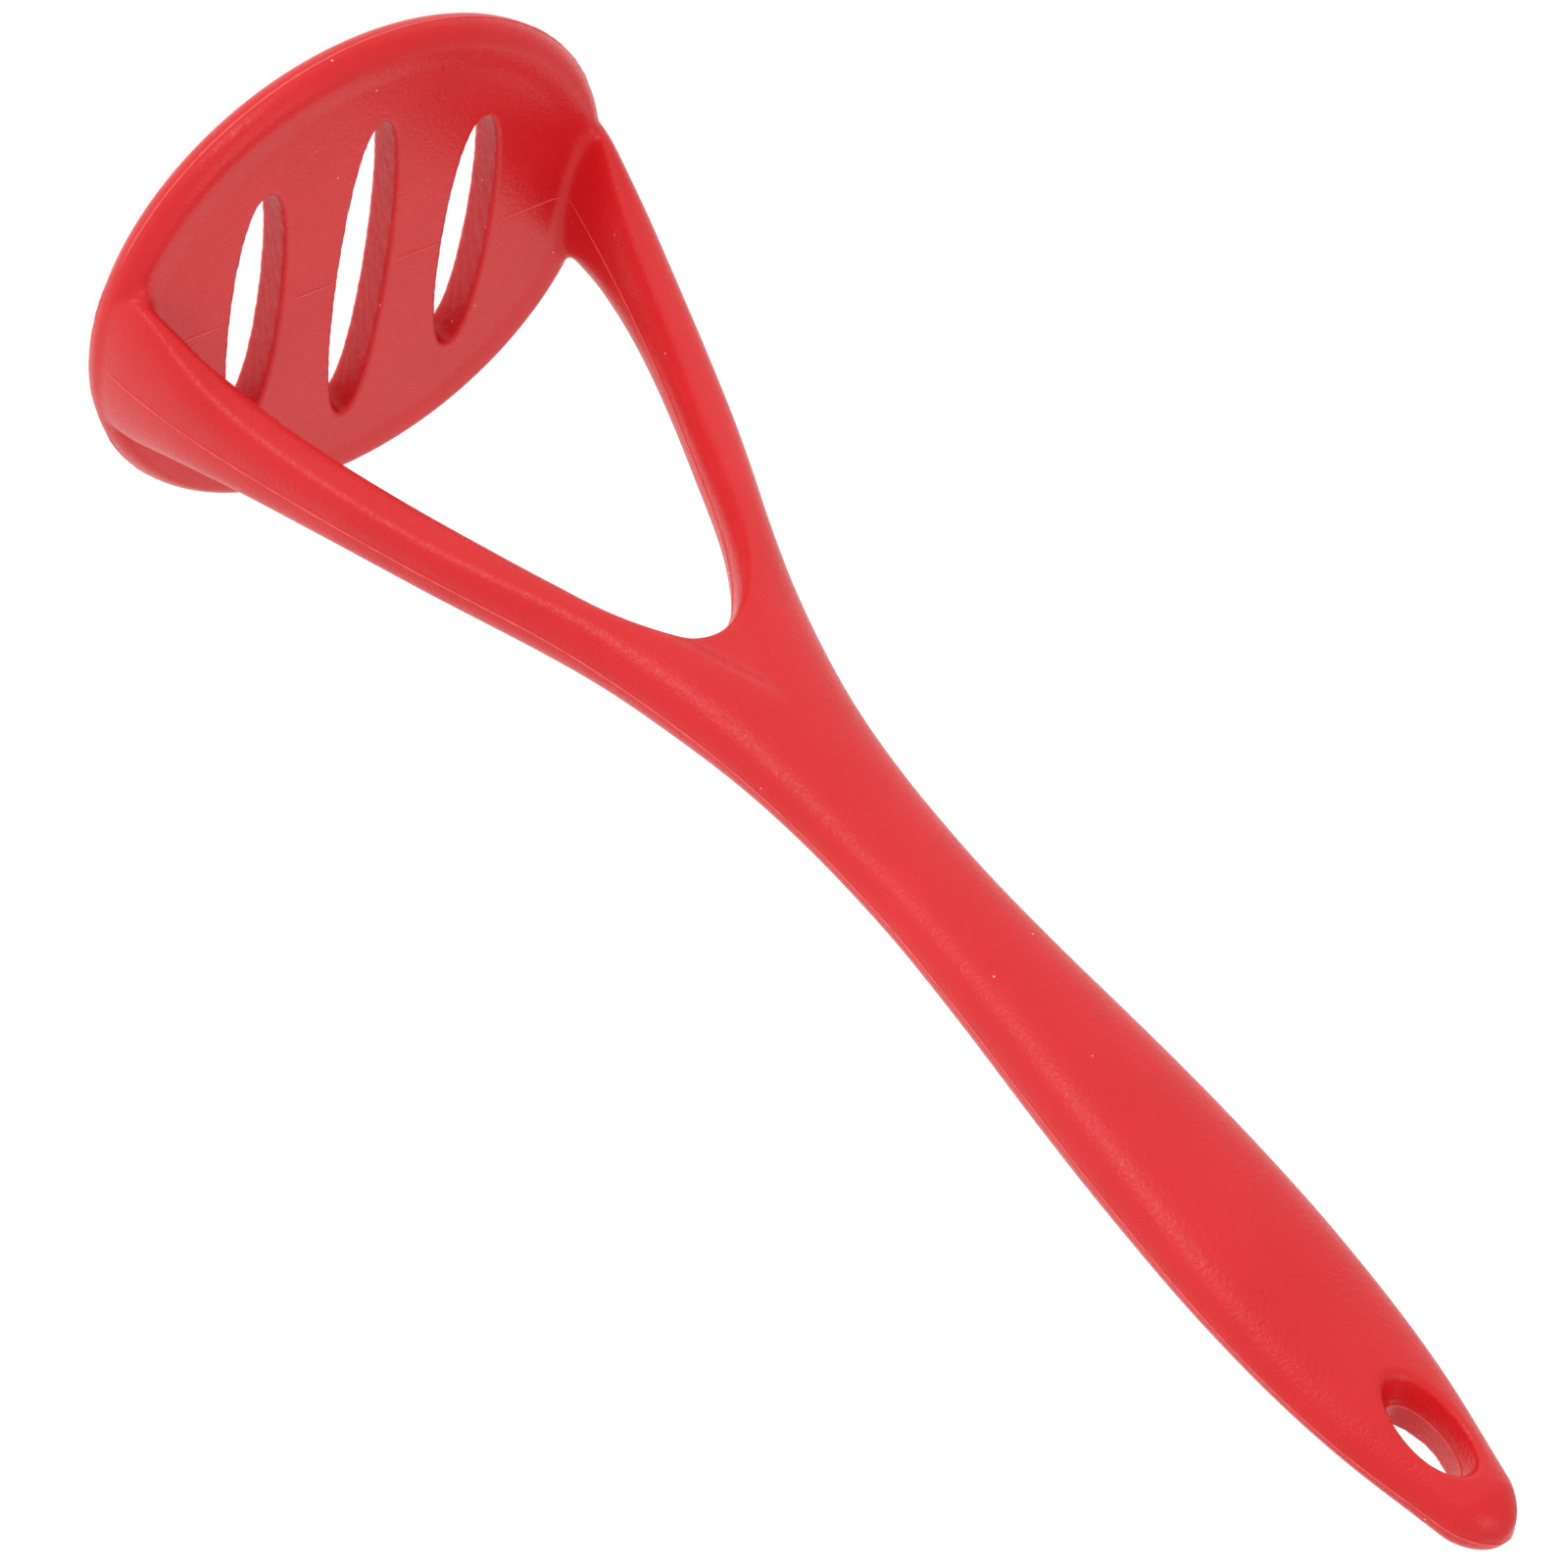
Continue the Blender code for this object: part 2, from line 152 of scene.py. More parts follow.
# The sample is bent a little: (height, shift), sideways in BOW and towards the back in SWAY.
BOW = (
    (0, 0.0), (20, -0.5), (40, -0.95), (65, -1.17), (95, -1.03), (140, -0.42), (180, 0.15), (220, 0.58),
    (262, 0.9),
)
SWAY = (
    (0, 0.0), (30, 0.4), (60, 0.0), (80, -0.5), (100, 0.05), (112, 0.18), (140, -0.05), (190, -0.16),
    (230, 0.15), (262, -0.1),
)
# The bent shape keeps between these heights.
LOWEST = 0.0
HIGHEST = 259.98

# ---- beads: radius, and how uneven it is -------------------------------------------------------------
BEAD_SIDES = 6
OUTSIDE_BEAD = (0.14, 0.6)
WINDOW_BEAD = (0.15, 0.5)
DISH_BEAD = (0.16, 0.5)
RIM_BEAD = (0.17, 0.45)
HOLE_BEAD = (0.16, 0.5)
# The line across the dish stops at the slots: (from, to) of each stretch.
DISH_STRETCHES = ((-38.2, -24.3), (-14.5, -5.0), (5.0, 14.5), (24.3, 38.2))
# The rim's line stops at the arms: where each half starts and how far it turns, in degrees.
RIM_STARTS = (22.0, 202.0)
RIM_TURN = 136.5

# ---- camera: in metres, and the lens in millimetres --------------------------------------------------
CAMERA_PLACE = Vector((0.2833, -0.4122, 0.3413))
CAMERA_BACK = Vector((0.5099, -0.7561, 0.4103))
CAMERA_UP = Vector((-0.3844, -0.6269, -0.6776))
CAMERA_LENS = 89.84

# ---- light: (name, direction, distance, size, watts, aim), in metres ---------------------------------
SKY = 0.67
LIGHTS = (
    ("key", (0.545, -0.84, -0.22), 0.45, (0.03, 0.10), 0.28, (0.007, -0.004, 0.14)),
    ("top", (0.3, -0.4, 1.0), 1.0, (0.6, 0.6), 1.5, (0.0, 0.0, 0.13)),
    ("back", (-0.4, 0.8, 0.8), 0.7, (0.5, 0.5), 0.42, (0.0, 0.0, 0.0)),
)

# ---- colours -----------------------------------------------------------------------------------------
RED = (0.74, 0.014, 0.018)
# Darker red of the trimmed slot walls: painted shade in the slots, on the same silicone.
SLOT_WALL_SHADE_RED = (0.62, 0.012, 0.017)
# Lighter red of the parting-line beads: painted highlight along the raised lines, on the same silicone as the
# skin.
FLASH_HIGHLIGHT_RED = (0.92, 0.1, 0.1)
DUST = (0.9, 0.45, 0.42, 1.0)


# ---- curves ----------------------------------------------------------------------------------------
def cubic(stations, at):
    """Monotone cubic through the stations, at an array of positions."""
    xs = np.array([p[0] for p in stations], float)
    ys = np.array([p[1] for p in stations], float)
    steps = np.diff(xs)
    slopes = np.diff(ys) / steps
    product = slopes[1:] * slopes[:-1]
    both = np.where(product > 0.0, slopes[1:] + slopes[:-1], 1.0)
    inner = np.where(product > 0.0, 2.0 * product / both, 0.0)
    tangents = np.concatenate(([slopes[0]], inner, [slopes[-1]]))
    at = np.clip(at, xs[0], xs[-1])
    i = np.clip(np.searchsorted(xs, at, side="right") - 1, 0, len(steps) - 1)
    t = (at - xs[i]) / steps[i]
    low = ys[i] * (1.0 - t) ** 2 * (1.0 + 2.0 * t) + steps[i] * tangents[i] * t * (1.0 - t) ** 2
    high = ys[i + 1] * t * t * (3.0 - 2.0 * t) - steps[i] * tangents[i + 1] * t * t * (1.0 - t)
    return low + high


class Curve:
    """A station curve, softened so that reflections run along it without kinks."""

    def __init__(self, stations, softness, step=0.1):
        first = stations[0][0]
        last = stations[-1][0]
        self.at = np.arange(first, last + step, step)
        values = cubic(stations, self.at)
        reach = int(3.0 * softness / step)
        weights = np.exp(-0.5 * (np.arange(-reach, reach + 1) * step / softness) ** 2)
        before = 2.0 * values[0] - values[reach:0:-1]
        after = 2.0 * values[-1] - values[-2:-reach - 2:-1]
        padded = np.concatenate((before, values, after))
        self.values = np.convolve(padded, weights / weights.sum(), mode="valid")
        self.slopes = np.gradient(self.values, step)

    def __call__(self, at):
        return np.interp(at, self.at, self.values)

    def slope(self, at):
        return np.interp(at, self.at, self.slopes)


outer = Curve(OUTER, 3.0)
depth = Curve(DEPTH, 3.0)
ridge = Curve(RIDGE, 2.5)
inner_round = Curve(INNER_ROUND, 3.0)
bow = Curve(BOW, 8.0)
sway = Curve(SWAY, 6.0)
window = Curve(tuple((-x, z) for x, z in WINDOW[:0:-1]) + WINDOW, 0.8, 0.05)


def step_up(value, low, high):
    """Smooth step from 0 at low to 1 at high."""
    t = np.clip((value - low) / (high - low), 0.0, 1.0)
    return t * t * (3.0 - 2.0 * t)


def smooth_max(a, b, size):
    """Maximum of two distances, rounded where they meet."""
    h = np.clip(0.5 + 0.5 * (a - b) / size, 0.0, 1.0)
    return b + (a - b) * h + size * h * (1.0 - h)


def smooth_min(a, b, size):
    """Minimum of two distances, with a fillet where they meet."""
    return -smooth_max(-a, -b, size)


# ---- the solid: each function is a rough signed distance, negative inside ------------------------------
def arms_and_grip(x, y, z, across):
    """Two arms that rise from the head, join at the crotch and become the grip."""
    side = np.maximum(outer(z) - ridge(z), 0.5)
    squareness = SECTION_POWER + ARM_POWER_MORE * step_up(z, *ARM_POWER_OVER)
    squareness = squareness - GRIP_POWER_LESS * step_up(z, *GRIP_POWER_OVER)
    half_depth = depth(z)
    slope = window.slope(across)
    from_window = (z - window(across)) / np.sqrt(1.0 + slope * slope)
    window_round = inner_round(z)
    past_ridge = np.maximum((x - ridge(z)) / side, 0.0)
    near_window = np.maximum(1.0 - from_window / window_round, 0.0)
    web = WEB_DEPTH + (half_depth - WEB_DEPTH) * step_up(z, *WEB_ENDS_OVER)
    down = step_up(z, *WEB_BEGINS_OVER) * step_up(ridge(z) - x, WEB_FROM, WEB_TO)
    local_depth = half_depth - (half_depth - web) * down
    deep = y / local_depth
    total = deep ** squareness + past_ridge ** squareness + near_window ** squareness
    section = total ** (1.0 / squareness)
    end = np.maximum(z - END_FROM, 0.0) / END_ROUND
    whole = np.sqrt(section * section + end * end)
    steepness = np.sqrt(
        (deep ** (squareness - 1.0) / local_depth) ** 2
        + (past_ridge ** (squareness - 1.0) / side) ** 2
        + (near_window ** (squareness - 1.0) / window_round) ** 2
        + (end / END_ROUND) ** 2
    )
    steepness = np.maximum(steepness / np.maximum(whole, 0.2) ** (squareness - 1.0), 0.06)
    return np.maximum((whole - 1.0) / steepness, ARM_FOOT - z)


def head(x, y, z):
    """Round plate with a bullnose rim and a shallow dish."""
    r = np.hypot(x, y * HEAD_RADIUS / HEAD_DEEP)
    out = r - (HEAD_RADIUS - RIM_ROUND)
    up = np.abs(z - HEAD_HEIGHT / 2.0) - (HEAD_HEIGHT / 2.0 - RIM_ROUND)
    corner = (np.maximum(out, 0.0) ** RIM_POWER + np.maximum(up, 0.0) ** RIM_POWER) ** (1.0 / RIM_POWER)
    body = corner + np.minimum(np.maximum(out, up), 0.0) - RIM_ROUND
    top = HEAD_HEIGHT - DISH * (1.0 - step_up(r, DISH_TO, DISH_FROM))
    return smooth_max(body, z - top, DISH_EDGE)


def slot(x, y, z, centre, half_width, half_length):
    """Leaf-shaped slot through the head."""
    across = np.abs(x - centre) / half_width
    along = y / half_length
    total = across ** SLOT_WIDTH_POWER + along ** SLOT_LENGTH_POWER
    size = total ** (1.0 / SLOT_POWER)
    steep_across = across ** (SLOT_WIDTH_POWER - 1.0) / half_width
    steep_along = along ** (SLOT_LENGTH_POWER - 1.0) / half_length
    steepness = np.hypot(steep_across, steep_along) / np.maximum(size, 0.2) ** (SLOT_POWER - 1.0)
    return np.maximum((size - 1.0) / np.maximum(steepness, 0.05), z - SLOT_TOP)


def ragged(x, y, z):
    """Uneven cut of the slot walls, between -1 and 1."""
    return np.sin(1.9 * y + 1.3 * np.sin(1.7 * z + 0.3 * x)) * np.sin(2.6 * z + 0.8 * y + 0.2 * x)


def hanging_hole(x, y, z):
    """Oval hole, narrowest half way through."""
    flare = np.where(y < 0.0, HOLE_FLARE, HOLE_BACK_FLARE) * (np.abs(y) / HOLE_HALF_DEPTH) ** HOLE_FLARE_POWER
    half_width = HOLE_WAIST[0] + flare
    half_length = HOLE_WAIST[1] + flare * np.where(z < HOLE_HEIGHT, HOLE_FLARE_DOWN, 1.0)
    across = (x - HOLE_SHIFT) / half_width
    along = (z - HOLE_HEIGHT) / half_length
    size = np.hypot(across, along)
    steepness = np.hypot(across / half_width, along / half_length) / np.maximum(size, 0.2)
    return (size - 1.0) / np.maximum(steepness, 0.05)


def pins(x, y, z):
    """Round marks left by the pins that held the core in the mould."""
    result = np.full(x.shape, 50.0)
    for pin_x, pin_z in BACK_PINS:
        bottom = depth(pin_z) - PIN_DEPTH
        result = np.minimum(result, np.maximum(np.hypot(x - pin_x, z - pin_z) - PIN_RADIUS, bottom - y))
    for pin_x in SOLE_PINS:
        result = np.minimum(result, np.maximum(np.hypot(x - pin_x, y) - PIN_RADIUS, z - PIN_DEPTH))
    return result


def solid(points):
    """Signed distance of the whole skin at an array of points."""
    signed_x = points[..., 0]
    signed_y = points[..., 1]
    z = points[..., 2]
    x = np.abs(signed_x)
    y = np.abs(signed_y)
    shift_more = (WINDOW_SHIFT[1] - WINDOW_SHIFT[0]) * step_up(z, *WINDOW_SHIFT_OVER)
    across = np.abs(signed_x - WINDOW_SHIFT[0] - shift_more)
    fillet = FILLET_AT_RIM + FILLET_MORE * (1.0 - step_up(np.hypot(x, y), *FILLET_OVER))
    result = smooth_min(arms_and_grip(x, y, z, across), head(x, y, z), fillet)
    rough_cut = SLOT_RAGGED * ragged(signed_x, signed_y, z)
    for centre, half_width, half_length in SLOTS:
        cut = slot(x, np.abs(signed_y - SLOT_BACK), z, centre, half_width, half_length)
        result = smooth_max(result, rough_cut - cut, SLOT_EDGE)
    hole_edge = HOLE_EDGE + HOLE_FRONT_EDGE_MORE * (signed_y < 0.0)
    result = smooth_max(result, -hanging_hole(signed_x, signed_y, z), hole_edge)
    return smooth_max(result, -pins(signed_x, signed_y, z), PIN_EDGE)


# ---- meshing ---------------------------------------------------------------------------------------
def project(points, rounds):
    """Move points onto the surface of the solid."""
    tiny = 0.02
    for _ in range(rounds):
        value = solid(points)
        gradient = np.empty_like(points)
        for axis in range(3):
            shift = np.zeros(3)
            shift[axis] = tiny
            gradient[:, axis] = (solid(points + shift) - solid(points - shift)) / (2.0 * tiny)
        length = np.maximum((gradient * gradient).sum(1), 0.05)
        move = gradient * (value / length)[:, None]
        size = np.maximum(np.linalg.norm(move, axis=1), 1e-9)
        points = points - move * np.minimum(1.0, CELL / size)[:, None]
    return points


def sample_grid():
    """Signs of the solid on a regular grid, evaluated only near the object."""
    xs = np.arange(-SEARCH_HALF, SEARCH_HALF + CELL, CELL)
    ys = xs
    zs = np.arange(SEARCH_BOTTOM, SEARCH_TOP + CELL, CELL)
    inside = np.zeros((len(xs), len(ys), len(zs)), bool)
    for start in range(0, len(zs), SEARCH_LAYERS):
        part = zs[start:start + SEARCH_LAYERS]
        low = part.min()
        if low < SEARCH_HEAD:
            wide = deep = SEARCH_HALF
        else:
            wide = float(outer(low)) + SEARCH_SPARE
            deep = float(depth(np.array([low, part.max()])).max()) + SEARCH_SPARE
        i = np.nonzero(np.abs(xs) <= wide)[0]
        j = np.nonzero(np.abs(ys) <= deep)[0]
        grid = np.stack(np.meshgrid(xs[i], ys[j], part, indexing="ij"), axis=-1)
        inside[i[0]:i[-1] + 1, j[0]:j[-1] + 1, start:start + len(part)] = solid(grid) < 0.0
    return xs, ys, zs, inside


def surface_net():
    """Quads on the solid's surface: a point in each cell that it crosses, joined round each crossed edge."""
    xs, ys, zs, inside = sample_grid()
    count = np.zeros(tuple(n - 1 for n in inside.shape), np.uint8)
    for i in (0, 1):
        for j in (0, 1):
            for k in (0, 1):
                count += inside[i:i + count.shape[0], j:j + count.shape[1], k:k + count.shape[2]]
    cells = np.argwhere((count > 0) & (count < 8))
    number = np.full(count.shape, -1, np.int32)
    number[cells[:, 0], cells[:, 1], cells[:, 2]] = np.arange(len(cells))
    points = np.stack((xs[cells[:, 0]], ys[cells[:, 1]], zs[cells[:, 2]]), axis=1) + CELL / 2.0
    quads = []
    around = (
        ((0, -1, -1), (0, 0, -1), (0, 0, 0), (0, -1, 0)),
        ((-1, 0, -1), (-1, 0, 0), (0, 0, 0), (0, 0, -1)),
        ((-1, -1, 0), (0, -1, 0), (0, 0, 0), (-1, 0, 0)),
    )
    for axis in range(3):
        near = np.moveaxis(inside, axis, 0)[:-1]
        far = np.moveaxis(inside, axis, 0)[1:]
        for leaving in (True, False):
            crossed = (near & ~far) if leaving else (~near & far)
            at = np.argwhere(np.moveaxis(crossed, 0, axis))
            ring = [number[tuple((at + np.array(offset)).T)] for offset in around[axis]]
            quad = np.stack(ring if leaving else ring[::-1], axis=1)
            quads.append(quad)
    return points, np.concatenate(quads)


def relax(points, quads):
    """Even out the mesh by moving each point towards the middle of its neighbours."""
    total = np.zeros_like(points)
    for turn in (1, 3):
        other = np.roll(quads, -turn, axis=1)
        for axis in range(3):
            total[:, axis] += np.bincount(quads.ravel(), points[other.ravel(), axis], len(points))
    times = 2.0 * np.bincount(quads.ravel(), minlength=len(points))
    return 0.45 * points + 0.55 * total / times[:, None]


def bend(points):
    """Bend the finished shape as the sample is bent."""
    result = points.copy()
    result[:, 0] += bow(points[:, 2])
    result[:, 1] += sway(points[:, 2])
    result[:, 2] = np.clip(result[:, 2], LOWEST, HIGHEST)
    return result


def mesh_object(name, points, faces, material):
    """Smooth-shaded object of a mesh in millimetres, bent into place."""
    data = bpy.data.meshes.new(name)
    data.from_pydata((bend(points) * MM).tolist(), [], faces)
    data.shade_smooth()
    data.materials.append(material)
    thing = bpy.data.objects.new(name, data)
    bpy.context.scene.collection.objects.link(thing)
    return thing


def cut_faces(thing, points, quads):
    """Give the slot walls the duller surface of the trimmed silicone, and a darker red that is painted shade
    in the slots.
    """
    middle = points[quads].mean(axis=1)
    height = middle[:, 2]
    near = np.hypot(middle[:, 0], middle[:, 1]) < CUT_RADIUS
    inside = near & (height > CUT_HEIGHTS[0]) & (height < CUT_HEIGHTS[1])
    thing.data.polygons.foreach_set("material_index", inside.astype(np.int32))


def skin_mesh():
    """Points and quads of the skin, evened out on the surface."""
    points, quads = surface_net()
    points = project(points, 3)
    for _ in range(4):
        points = project(relax(points, quads), 1)
    return project(points, 1), quads


# ---- beads: the parting lines ------------------------------------------------------------------------
def wobble(distance, seed):
    """Slow, repeatable irregularity between 0 and 1 along a bead."""
    waves = ((0.31, 1.7), (0.83, 4.1), (1.9, 2.3), (4.3, 0.9))
    total = sum(math.sin(rate * distance * 1.3 + shift * (seed + 1.0)) for rate, shift in waves)
    return 0.5 + 0.125 * total


def bead(points, radius, uneven, seed):
    """Thin tube along points on the surface; its size wanders and it tapers away at both ends."""
    points = project(np.array(points, float), 3)
    rings = []
    faces = []
    travelled = 0.0
    tiny = 0.05
    last = len(points) - 1
    for n, point in enumerate(points):
        ahead = points[min(n + 1, last)] - points[max(n - 1, 0)]
        direction = ahead / max(np.linalg.norm(ahead), 1e-9)
        if n:
            travelled += float(np.linalg.norm(point - points[n - 1]))
        normal = np.array([
            float(solid(point + tiny * axis) - solid(point - tiny * axis)) for axis in np.eye(3)
        ])
        normal -= direction * float(normal @ direction)
        normal /= max(np.linalg.norm(normal), 1e-9)
        across = np.cross(direction, normal)
        fade = min(1.0, 0.25 + n / 6.0, 0.25 + (last - n) / 6.0)
        size = radius * fade * (1.0 - uneven + 2.0 * uneven * wobble(travelled, seed))
        for k in range(BEAD_SIDES):
            angle = 2.0 * math.pi * k / BEAD_SIDES
            rings.append(point + size * (across * math.cos(angle) + normal * math.sin(angle)))
        if n:
            for k in range(BEAD_SIDES):
                a = (n - 1) * BEAD_SIDES + k
                b = (n - 1) * BEAD_SIDES + (k + 1) % BEAD_SIDES
                faces.append((a, b, b + BEAD_SIDES, a + BEAD_SIDES))
    faces.append(tuple(range(BEAD_SIDES))[::-1])
    faces.append(tuple(last * BEAD_SIDES + k for k in range(BEAD_SIDES)))
    return rings, faces


def joined(parts):
    """One list of points and one of faces from several beads."""
    points = []
    faces = []
    for more, polygons in parts:
        start = len(points)
        points.extend(more)
        faces.extend(tuple(i + start for i in polygon) for polygon in polygons)
    return np.array(points), faces


def side_lines():
    """Parting line of the two mould halves, round the outside and round the window."""
    heights = np.arange(4.0, END_FROM - 1.0, 0.8)
    heights = np.concatenate((heights, END_FROM + (END_ROUND - 0.02) * np.sin(np.linspace(0.0, 1.5, 16))))
    close = np.sqrt(np.maximum(1.0 - (np.maximum(heights - END_FROM, 0.0) / END_ROUND) ** 2, 0.0))
    right = [(float(outer(z)) * float(c), 0.0, z) for z, c in zip(heights, close)]
    left = [(-x, y, z) for x, y, z in right]
    round_outside = right + [(0.0, 0.0, END_FROM + END_ROUND)] + left[::-1]
    across = np.concatenate((np.arange(38.6, 10.0, -0.3), np.arange(10.0, 0.0, -0.5)))
    right = [(x, 0.0, float(window(x))) for x in across]
    round_window = right + [(0.0, 0.0, WINDOW[0][1])] + [(-x, y, z) for x, y, z in right[::-1]]
    return [bead(round_outside, *OUTSIDE_BEAD, 1.0), bead(round_window, *WINDOW_BEAD, 2.0)]


def head_lines():
    """Parting line across the dish between the slots, and round the rim."""
    parts = []
    for n, (start, end) in enumerate(DISH_STRETCHES):
        stretch = [(x, 0.0, HEAD_HEIGHT - DISH) for x in np.arange(start, end, 0.6)]
        parts.append(bead(stretch, *DISH_BEAD, 3.0 + 2.0 * n))
    for start in RIM_STARTS:
        turn = np.radians(np.arange(start, start + RIM_TURN, 0.9))
        ring = [(HEAD_RADIUS * math.cos(a), HEAD_RADIUS * math.sin(a), HEAD_HEIGHT / 2.0) for a in turn]
        parts.append(bead(ring, *RIM_BEAD, start))
    return parts


def hole_line():
    """Flash half way through the hanging hole."""
    turn = np.radians(np.arange(0.0, 361.0, 6.0))
    half_width, half_length = HOLE_WAIST
    ring = [
        (HOLE_SHIFT + half_width * math.cos(a), 0.0, HOLE_HEIGHT + half_length * math.sin(a)) for a in turn
    ]
    return [bead(ring, *HOLE_BEAD, 9.0)]


# ---- materials -------------------------------------------------------------------------------------
def node(tree, kind, **inputs):
    """New shader node with its number inputs set."""
    made = tree.nodes.new(kind)
    for name, value in inputs.items():
        made.inputs[name.replace("_", " ")].default_value = value
    return made


def cloudy_tint(tree, where, color):
    """Colour output that clouds the silicone's colour a little."""
    cloud = node(tree, "ShaderNodeTexNoise", Scale=60.0, Detail=3.0, Roughness=0.6)
    tree.links.new(where.outputs["Object"], cloud.inputs["Vector"])
    tint = tree.nodes.new("ShaderNodeValToRGB")
    tint.color_ramp.elements[0].position = 0.3
    tint.color_ramp.elements[0].color = (color[0] * 0.96, color[1] * 0.85, color[2] * 0.85, 1.0)
    tint.color_ramp.elements[1].position = 0.7
    tint.color_ramp.elements[1].color = (min(color[0] * 1.03, 1.0), color[1] * 1.15, color[2] * 1.15, 1.0)
    tree.links.new(cloud.outputs["Fac"], tint.inputs["Fac"])
    return tint.outputs["Color"]


def dusted(tree, where, tint):
    """Colour output with sparse specks of dust over the tint."""
    link = tree.links.new
    dust = node(tree, "ShaderNodeTexVoronoi", Scale=420.0)
    link(where.outputs["Object"], dust.inputs["Vector"])
    speck = tree.nodes.new("ShaderNodeMapRange")
    speck.inputs["From Min"].default_value = 0.085
    speck.inputs["From Max"].default_value = 0.045
    link(dust.outputs["Distance"], speck.inputs["Value"])
    rare = tree.nodes.new("ShaderNodeMath")
    rare.operation = "GREATER_THAN"
    rare.inputs[1].default_value = 0.93
    split = tree.nodes.new("ShaderNodeSeparateColor")
    link(dust.outputs["Color"], split.inputs["Color"])
    link(split.outputs["Red"], rare.inputs[0])
    both = tree.nodes.new("ShaderNodeMath")
    both.operation = "MULTIPLY"
    link(speck.outputs["Result"], both.inputs[0])
    link(rare.outputs["Value"], both.inputs[1])
    paint = tree.nodes.new("ShaderNodeMix")
    paint.data_type = "RGBA"
    paint.inputs[7].default_value = DUST
    link(both.outputs["Value"], paint.inputs[0])
    link(tint, paint.inputs[6])
    return paint.outputs[2]


def add_grain(tree, where, shader, roughness, grain, fineness):
    """Fine moulded grain: it varies the roughness and bumps the surface."""
    link = tree.links.new
    fine = node(tree, "ShaderNodeTexNoise", Scale=fineness, Detail=2.0, Roughness=0.7)
    link(where.outputs["Object"], fine.inputs["Vector"])
    matt = tree.nodes.new("ShaderNodeMapRange")
    matt.inputs["From Min"].default_value = 0.3
    matt.inputs["From Max"].default_value = 0.7
    matt.inputs["To Min"].default_value = roughness - 0.09
    matt.inputs["To Max"].default_value = roughness + 0.09
    link(fine.outputs["Fac"], matt.inputs["Value"])
    link(matt.outputs["Result"], shader.inputs["Roughness"])
    bump = tree.nodes.new("ShaderNodeBump")
    bump.inputs["Strength"].default_value = grain
    bump.inputs["Distance"].default_value = 0.0001
    link(fine.outputs["Fac"], bump.inputs["Height"])
    link(bump.outputs["Normal"], shader.inputs["Normal"])


def silicone(name, color, roughness, grain, fineness=1700.0):
    """Satin silicone: fine moulded grain, faint cloudiness, sparse dust."""
    material = bpy.data.materials.new(name)
    material.use_nodes = True
    tree = material.node_tree
    shader = tree.nodes["Principled BSDF"]
    shader.inputs["Metallic"].default_value = 0.0
    shader.inputs["IOR"].default_value = 1.42
    shader.inputs["Specular IOR Level"].default_value = 0.5
    where = tree.nodes.new("ShaderNodeTexCoord")
    color_now = dusted(tree, where, cloudy_tint(tree, where, color))
    tree.links.new(color_now, shader.inputs["Base Color"])
    add_grain(tree, where, shader, roughness, grain, fineness)
    return material


def nylon():
    """Glass-filled nylon of the core: dull, with short fibres showing."""
    material = bpy.data.materials.new("glass_filled_nylon")
    material.use_nodes = True
    tree = material.node_tree
    shader = tree.nodes["Principled BSDF"]
    where = tree.nodes.new("ShaderNodeTexCoord")
    fibre = node(tree, "ShaderNodeTexNoise", Scale=900.0, Detail=4.0, Roughness=0.7)
    tree.links.new(where.outputs["Object"], fibre.inputs["Vector"])
    tint = tree.nodes.new("ShaderNodeValToRGB")
    tint.color_ramp.elements[0].color = (0.22, 0.016, 0.018, 1.0)
    tint.color_ramp.elements[1].color = (0.42, 0.05, 0.05, 1.0)
    tree.links.new(fibre.outputs["Fac"], tint.inputs["Fac"])
    tree.links.new(tint.outputs["Color"], shader.inputs["Base Color"])
    shader.inputs["Roughness"].default_value = 0.6
    return material


def floor_material():
    """Pale studio paper that glows a little, so that it comes out white."""
    material = bpy.data.materials.new("floor")
    material.use_nodes = True
    tree = material.node_tree
    shader = tree.nodes["Principled BSDF"]
    where = tree.nodes.new("ShaderNodeTexCoord")
    haze = node(tree, "ShaderNodeTexNoise", Scale=1.5, Detail=2.0)
    tree.links.new(where.outputs["Object"], haze.inputs["Vector"])
    tint = tree.nodes.new("ShaderNodeValToRGB")
    tint.color_ramp.elements[0].color = (0.2, 0.2, 0.205, 1.0)
    tint.color_ramp.elements[1].color = (0.23, 0.23, 0.23, 1.0)
    tree.links.new(haze.outputs["Fac"], tint.inputs["Fac"])
    tree.links.new(tint.outputs["Color"], shader.inputs["Base Color"])
    shader.inputs["Roughness"].default_value = 0.8
    shader.inputs["Specular IOR Level"].default_value = 0.2
    shader.inputs["Emission Color"].default_value = (1.0, 1.0, 1.0, 1.0)
    shader.inputs["Emission Strength"].default_value = 0.92
    return material


# ---- stage -----------------------------------------------------------------------------------------
def make_floor():
    """Wide plane just under the sole."""
    data = bpy.data.meshes.new("floor")
    wide = 4.0
    corners = [(-wide, -wide, 0.0), (wide, -wide, 0.0), (wide, wide, 0.0), (-wide, wide, 0.0)]
    data.from_pydata(corners, [], [(0, 1, 2, 3)])
    data.materials.append(floor_material())
    thing = bpy.data.objects.new("floor", data)
    thing.location.z = -0.0002
    bpy.context.scene.collection.objects.link(thing)


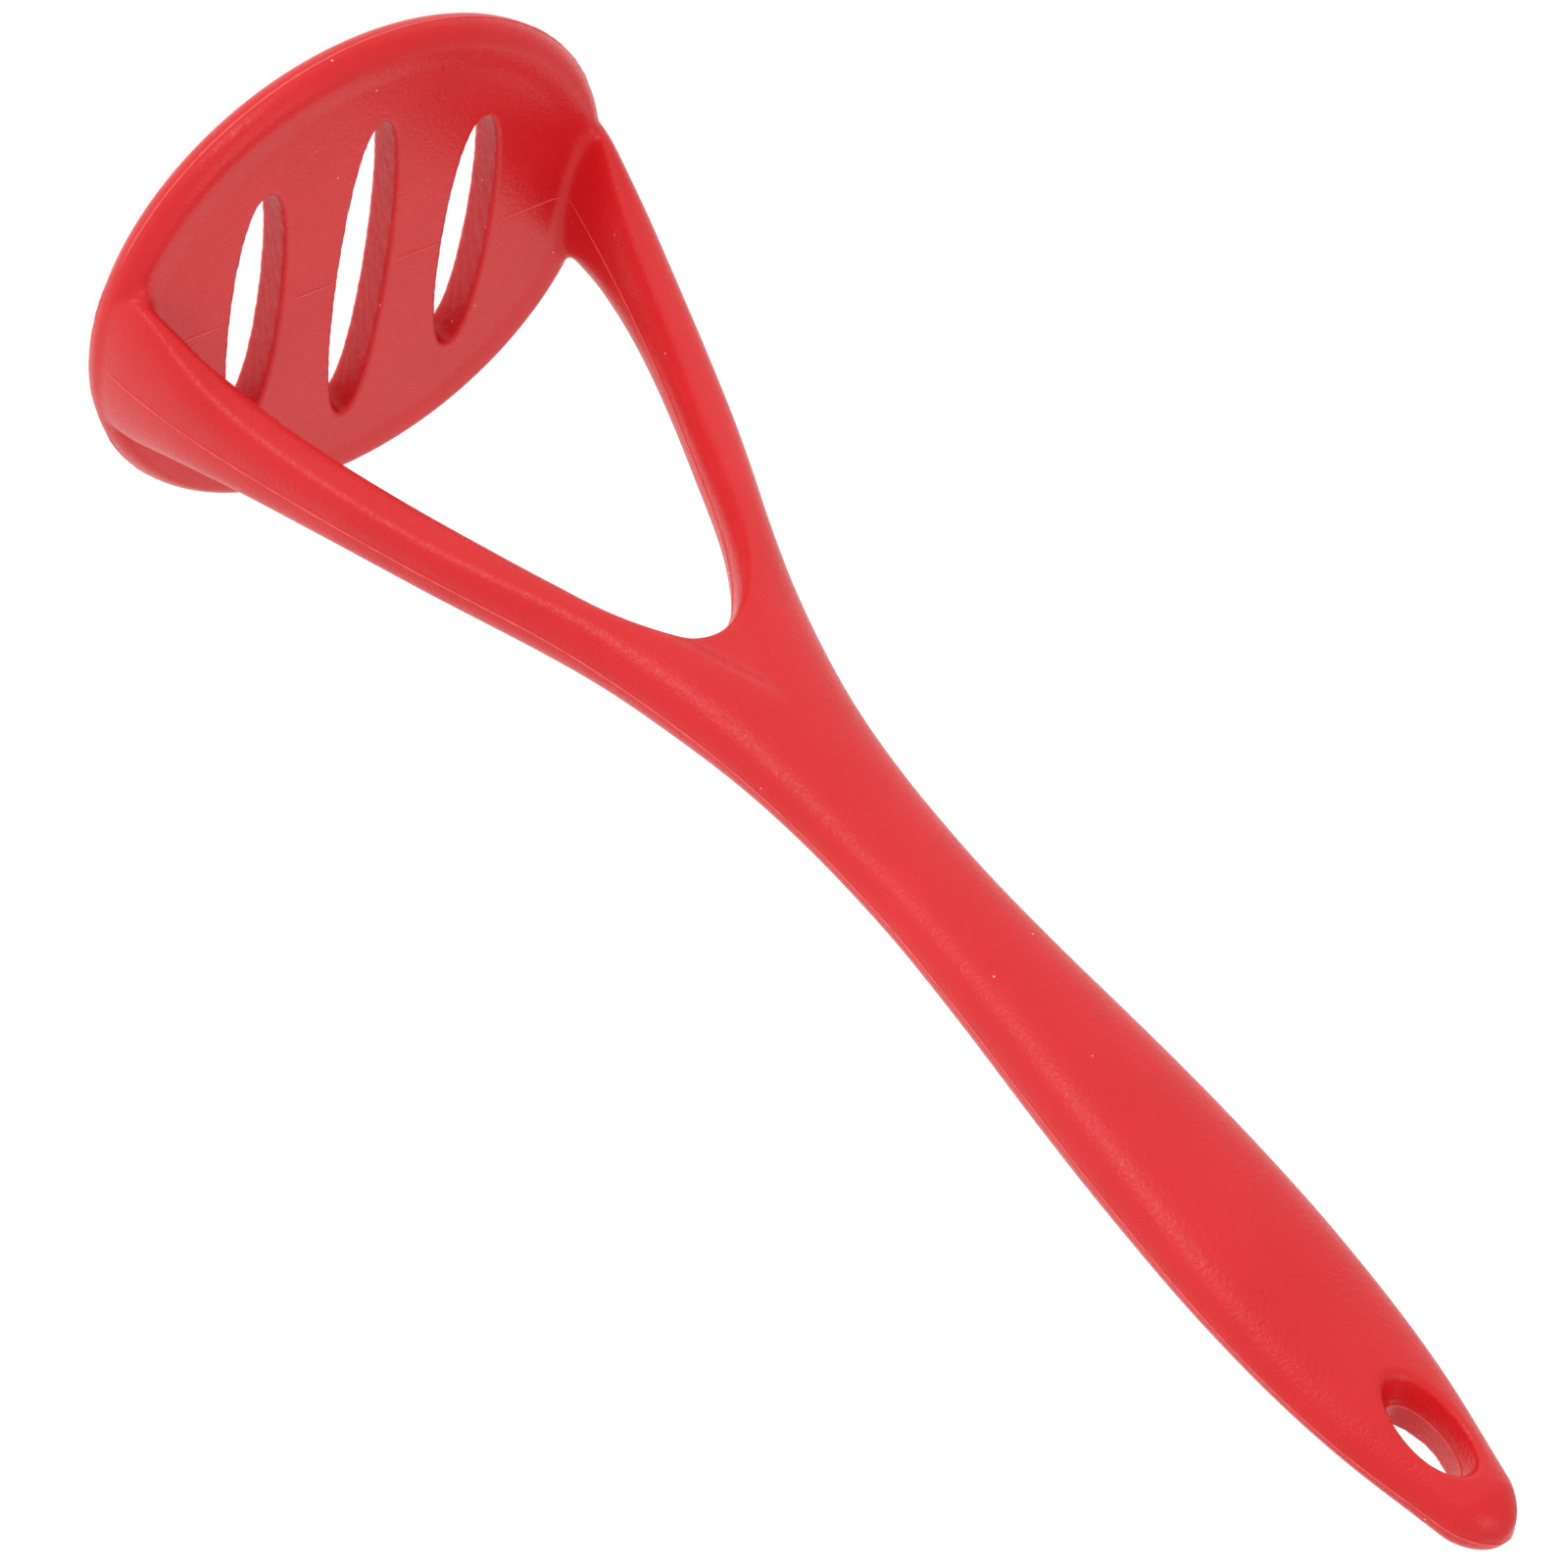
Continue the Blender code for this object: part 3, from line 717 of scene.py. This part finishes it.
def area_light(name, direction, distance, size, power, aim):
    """Rectangular light at a distance from the point that it faces."""
    data = bpy.data.lights.new(name, "AREA")
    data.shape = "RECTANGLE"
    data.size = size[0]
    data.size_y = size[1]
    data.energy = power
    thing = bpy.data.objects.new(name, data)
    way = Vector(direction).normalized()
    thing.location = Vector(aim) + way * distance
    thing.rotation_euler = way.to_track_quat("Z", "Y").to_euler()
    bpy.context.scene.collection.objects.link(thing)


def make_world(strength):
    """Even white light from all round."""
    world = bpy.data.worlds.new("studio")
    bpy.context.scene.world = world
    world.use_nodes = True
    shade = world.node_tree.nodes["Background"]
    shade.inputs["Color"].default_value = (1.0, 1.0, 1.0, 1.0)
    shade.inputs["Strength"].default_value = strength


def make_camera():
    """Camera that looks down the tool from the front, over the +X arm."""
    data = bpy.data.cameras.new("camera")
    data.lens = CAMERA_LENS
    data.sensor_width = 36.0
    data.clip_start = 0.01
    data.clip_end = 50.0
    thing = bpy.data.objects.new("camera", data)
    back = CAMERA_BACK.normalized()
    right = CAMERA_UP.cross(back).normalized()
    up = back.cross(right)
    turn = Matrix((right, up, back)).transposed().to_4x4()
    thing.matrix_world = Matrix.Translation(CAMERA_PLACE) @ turn
    bpy.context.scene.collection.objects.link(thing)
    bpy.context.scene.camera = thing


def main():
    red = silicone("red_silicone", RED, roughness=0.34, grain=1.0)
    # Slot walls: rougher trimmed finish, with a darker red that is painted shade.
    cut = silicone("cut_silicone_shaded", SLOT_WALL_SHADE_RED, roughness=0.48, grain=1.0, fineness=900.0)
    # The beads' lighter red is painted highlight.
    flash_highlight = silicone("flash_silicone_highlight", FLASH_HIGHLIGHT_RED, roughness=0.34, grain=0.2)
    points, quads = skin_mesh()
    skin = mesh_object("skin", points, quads.tolist(), red)
    skin.data.materials.append(cut)
    cut_faces(skin, points, quads)
    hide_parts("silicone_skin")
    lines, faces = joined(side_lines() + head_lines() + hole_line())
    parting = mesh_object("parting_lines", lines, faces, flash_highlight)
    for piece in (skin, parting):
        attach(piece, "root")
    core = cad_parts["nylon_core"]
    core.data.materials.clear()
    core.data.materials.append(nylon())

    make_floor()
    make_camera()
    make_world(SKY)
    for light in LIGHTS:
        area_light(*light)
    bpy.context.scene.view_settings.view_transform = "Standard"


main()
